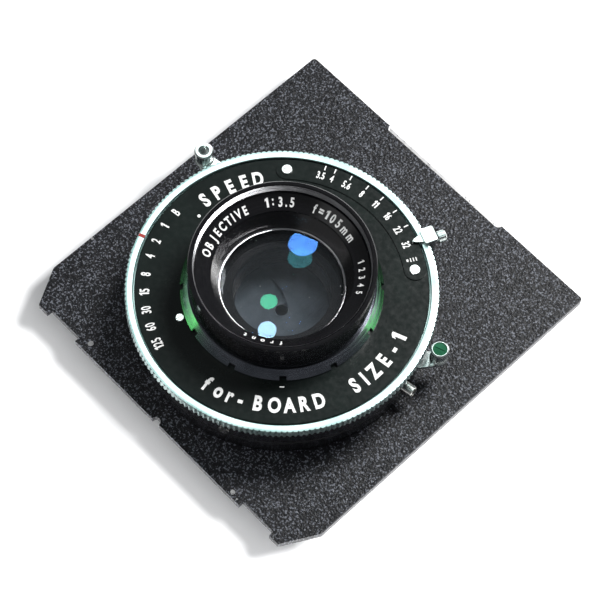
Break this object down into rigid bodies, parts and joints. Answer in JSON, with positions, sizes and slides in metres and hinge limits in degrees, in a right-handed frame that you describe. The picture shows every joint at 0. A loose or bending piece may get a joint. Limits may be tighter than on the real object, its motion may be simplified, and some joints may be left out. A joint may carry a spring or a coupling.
{
  "type": "large-format lens in leaf shutter",
  "caption": "Camera lens in a leaf shutter with knurled speed ring, aperture and cocking levers, on a flat clipped-corner lens board.",
  "frame": {"origin": "on the optical axis, in the board's rear seating plane", "axes": "+Z out of the front of the lens, +Y to the board's latch edge, +X to the right seen from the front"},
  "size_m": [0.096, 0.099, 0.0413],
  "materials": {
    "wrinkle_black": "wrinkle paint, satin",
    "gloss_black": "gloss black enamel",
    "faceplate_black": "gloss black with white figures",
    "barrel_black": "black anodised, satin",
    "chrome": "satin chrome",
    "nickel": "polished nickel",
    "screw_steel": "turned steel",
    "coated_glass": "coated optical glass",
    "blade_steel": "blackened spring steel",
    "plate_steel": "plated steel",
    "gear_brass": "cut brass",
    "spring_steel": "spring wire",
    "green_cap": "green enamel",
    "insulator": "black insulator"
  },
  "bodies": {
    "shutter_and_board": {"lens_board": "wrinkle_black", "mounting_ring": "gloss_black", "shutter_housing": "gloss_black", "iris_post_plate": "plate_steel", "shutter_post_plate": "plate_steel", "mechanism_plate": "plate_steel", "plate_screws": "screw_steel", "mainspring": "spring_steel", "release_spring": "spring_steel", "retard_bridge": "plate_steel", "bridge_screws": "screw_steel", "click_spring": "spring_steel", "faceplate": "faceplate_black", "aperture_scale": "faceplate_black", "scale_screws": "screw_steel", "lock_ring": "gloss_black", "lock_screw": "screw_steel", "front_barrel": "barrel_black", "name_ring": "barrel_black", "front_element": "coated_glass", "second_element": "coated_glass", "inner_retainer": "barrel_black", "rear_barrel": "barrel_black", "rear_flint_element": "coated_glass", "rear_crown_element": "coated_glass", "rear_retainer": "barrel_black", "sync_socket": "nickel", "sync_insulator": "insulator", "sync_pin": "nickel", "cable_release_socket": "nickel", "side_screw": "nickel"},
    "speed_ring": {"speed_ring": "chrome"},
    "aperture_ring": {"iris_ring": "plate_steel", "aperture_lever": "chrome", "aperture_knob": "chrome"},
    "iris_blade_1": {"iris_blade_1": "blade_steel"},
    "iris_blade_2": {"iris_blade_2": "blade_steel"},
    "iris_blade_3": {"iris_blade_3": "blade_steel"},
    "iris_blade_4": {"iris_blade_4": "blade_steel"},
    "iris_blade_5": {"iris_blade_5": "blade_steel"},
    "iris_blade_6": {"iris_blade_6": "blade_steel"},
    "iris_blade_7": {"iris_blade_7": "blade_steel"},
    "blade_drive": {"blade_drive_ring": "plate_steel"},
    "shutter_blade_1": {"shutter_blade_1": "blade_steel"},
    "shutter_blade_2": {"shutter_blade_2": "blade_steel"},
    "shutter_blade_3": {"shutter_blade_3": "blade_steel"},
    "shutter_blade_4": {"shutter_blade_4": "blade_steel"},
    "shutter_blade_5": {"shutter_blade_5": "blade_steel"},
    "cocking_lever": {"cocking_lever": "chrome", "cocking_knob": "chrome"},
    "release_lever": {"release_lever": "chrome", "release_knob": "chrome", "release_cap": "green_cap"},
    "retard_wheel": {"retard_wheel": "gear_brass"},
    "star_wheel": {"star_wheel": "gear_brass"},
    "pallet": {"pallet": "gear_brass"}
  },
  "joints": [
    {"name": "speed_ring_turn", "type": "hinge", "parent": "shutter_and_board", "child": "speed_ring", "pos_m": [0, 0, 0.0155], "axis": [0, 0, 1], "range_deg": [-16.3, 48.9]},
    {"name": "aperture_turn", "type": "hinge", "parent": "shutter_and_board", "child": "aperture_ring", "pos_m": [0, 0, 0.0055], "axis": [0, 0, 1], "range_deg": [0, 51.1]},
    {"name": "iris_blade_1_swing", "type": "hinge", "parent": "shutter_and_board", "child": "iris_blade_1", "pos_m": [0.025, 0, 0.0042], "axis": [0, 0, 1], "range_deg": [-28.3, 0]},
    {"name": "iris_blade_2_swing", "type": "hinge", "parent": "shutter_and_board", "child": "iris_blade_2", "pos_m": [0.01559, 0.01955, 0.0042], "axis": [0, 0, 1], "range_deg": [-28.3, 0]},
    {"name": "iris_blade_3_swing", "type": "hinge", "parent": "shutter_and_board", "child": "iris_blade_3", "pos_m": [-0.00556, 0.02437, 0.0042], "axis": [0, 0, 1], "range_deg": [-28.3, 0]},
    {"name": "iris_blade_4_swing", "type": "hinge", "parent": "shutter_and_board", "child": "iris_blade_4", "pos_m": [-0.02252, 0.01085, 0.0042], "axis": [0, 0, 1], "range_deg": [-28.3, 0]},
    {"name": "iris_blade_5_swing", "type": "hinge", "parent": "shutter_and_board", "child": "iris_blade_5", "pos_m": [-0.02252, -0.01085, 0.0042], "axis": [0, 0, 1], "range_deg": [-28.3, 0]},
    {"name": "iris_blade_6_swing", "type": "hinge", "parent": "shutter_and_board", "child": "iris_blade_6", "pos_m": [-0.00556, -0.02437, 0.0042], "axis": [0, 0, 1], "range_deg": [-28.3, 0]},
    {"name": "iris_blade_7_swing", "type": "hinge", "parent": "shutter_and_board", "child": "iris_blade_7", "pos_m": [0.01559, -0.01955, 0.0042], "axis": [0, 0, 1], "range_deg": [-28.3, 0]},
    {"name": "blade_drive_turn", "type": "hinge", "parent": "shutter_and_board", "child": "blade_drive", "pos_m": [0, 0, 0.0072], "axis": [0, 0, 1], "range_deg": [0, 18]},
    {"name": "shutter_blade_1_swing", "type": "hinge", "parent": "shutter_and_board", "child": "shutter_blade_1", "pos_m": [0.03, 0, 0.0065], "axis": [0, 0, 1], "range_deg": [0, 29.1]},
    {"name": "shutter_blade_2_swing", "type": "hinge", "parent": "shutter_and_board", "child": "shutter_blade_2", "pos_m": [0.00927, 0.02853, 0.0065], "axis": [0, 0, 1], "range_deg": [0, 29.1]},
    {"name": "shutter_blade_3_swing", "type": "hinge", "parent": "shutter_and_board", "child": "shutter_blade_3", "pos_m": [-0.02427, 0.01763, 0.0065], "axis": [0, 0, 1], "range_deg": [0, 29.1]},
    {"name": "shutter_blade_4_swing", "type": "hinge", "parent": "shutter_and_board", "child": "shutter_blade_4", "pos_m": [-0.02427, -0.01763, 0.0065], "axis": [0, 0, 1], "range_deg": [0, 29.1]},
    {"name": "shutter_blade_5_swing", "type": "hinge", "parent": "shutter_and_board", "child": "shutter_blade_5", "pos_m": [0.00927, -0.02853, 0.0065], "axis": [0, 0, 1], "range_deg": [0, 29.1]},
    {"name": "cocking_turn", "type": "hinge", "parent": "shutter_and_board", "child": "cocking_lever", "pos_m": [-0.02628, 0.01226, 0.0091], "axis": [0, 0, 1], "range_deg": [-38, 0], "stiffness_Nm_per_rad": 0.01, "springref_deg": 8.59},
    {"name": "release_turn", "type": "hinge", "parent": "shutter_and_board", "child": "release_lever", "pos_m": [0.02837, 0.00603, 0.0091], "axis": [0, 0, 1], "range_deg": [-10, 0], "stiffness_Nm_per_rad": 0.01, "springref_deg": 5.73},
    {"name": "retard_wheel_spin", "type": "hinge", "parent": "shutter_and_board", "child": "retard_wheel", "pos_m": [-0.02832, 0.00623, 0.0095], "axis": [0, 0, 1], "range_deg": [-2, 168]},
    {"name": "star_wheel_spin", "type": "hinge", "parent": "shutter_and_board", "child": "star_wheel", "pos_m": [-0.02888, 0.00261, 0.0105], "axis": [0, 0, 1], "range_deg": [-336, 4]},
    {"name": "pallet_rock", "type": "hinge", "parent": "shutter_and_board", "child": "pallet", "pos_m": [-0.02896, -0.00158, 0.0108], "axis": [0, 0, 1], "range_deg": [-5, 5]}
  ],
  "couplings": [
    {"joint": "iris_blade_1_swing", "follows": "aperture_turn", "ratio": -0.55044},
    {"joint": "iris_blade_2_swing", "follows": "aperture_turn", "ratio": -0.55044},
    {"joint": "iris_blade_3_swing", "follows": "aperture_turn", "ratio": -0.55044},
    {"joint": "iris_blade_4_swing", "follows": "aperture_turn", "ratio": -0.55044},
    {"joint": "iris_blade_5_swing", "follows": "aperture_turn", "ratio": -0.55044},
    {"joint": "iris_blade_6_swing", "follows": "aperture_turn", "ratio": -0.55044},
    {"joint": "iris_blade_7_swing", "follows": "aperture_turn", "ratio": -0.55044},
    {"joint": "shutter_blade_1_swing", "follows": "blade_drive_turn", "ratio": 1.6111},
    {"joint": "shutter_blade_2_swing", "follows": "blade_drive_turn", "ratio": 1.6111},
    {"joint": "shutter_blade_3_swing", "follows": "blade_drive_turn", "ratio": 1.6111},
    {"joint": "shutter_blade_4_swing", "follows": "blade_drive_turn", "ratio": 1.6111},
    {"joint": "shutter_blade_5_swing", "follows": "blade_drive_turn", "ratio": 1.6111},
    {"joint": "retard_wheel_spin", "follows": "cocking_turn", "ratio": -4.25},
    {"joint": "star_wheel_spin", "follows": "cocking_turn", "ratio": 8.5}
  ]
}
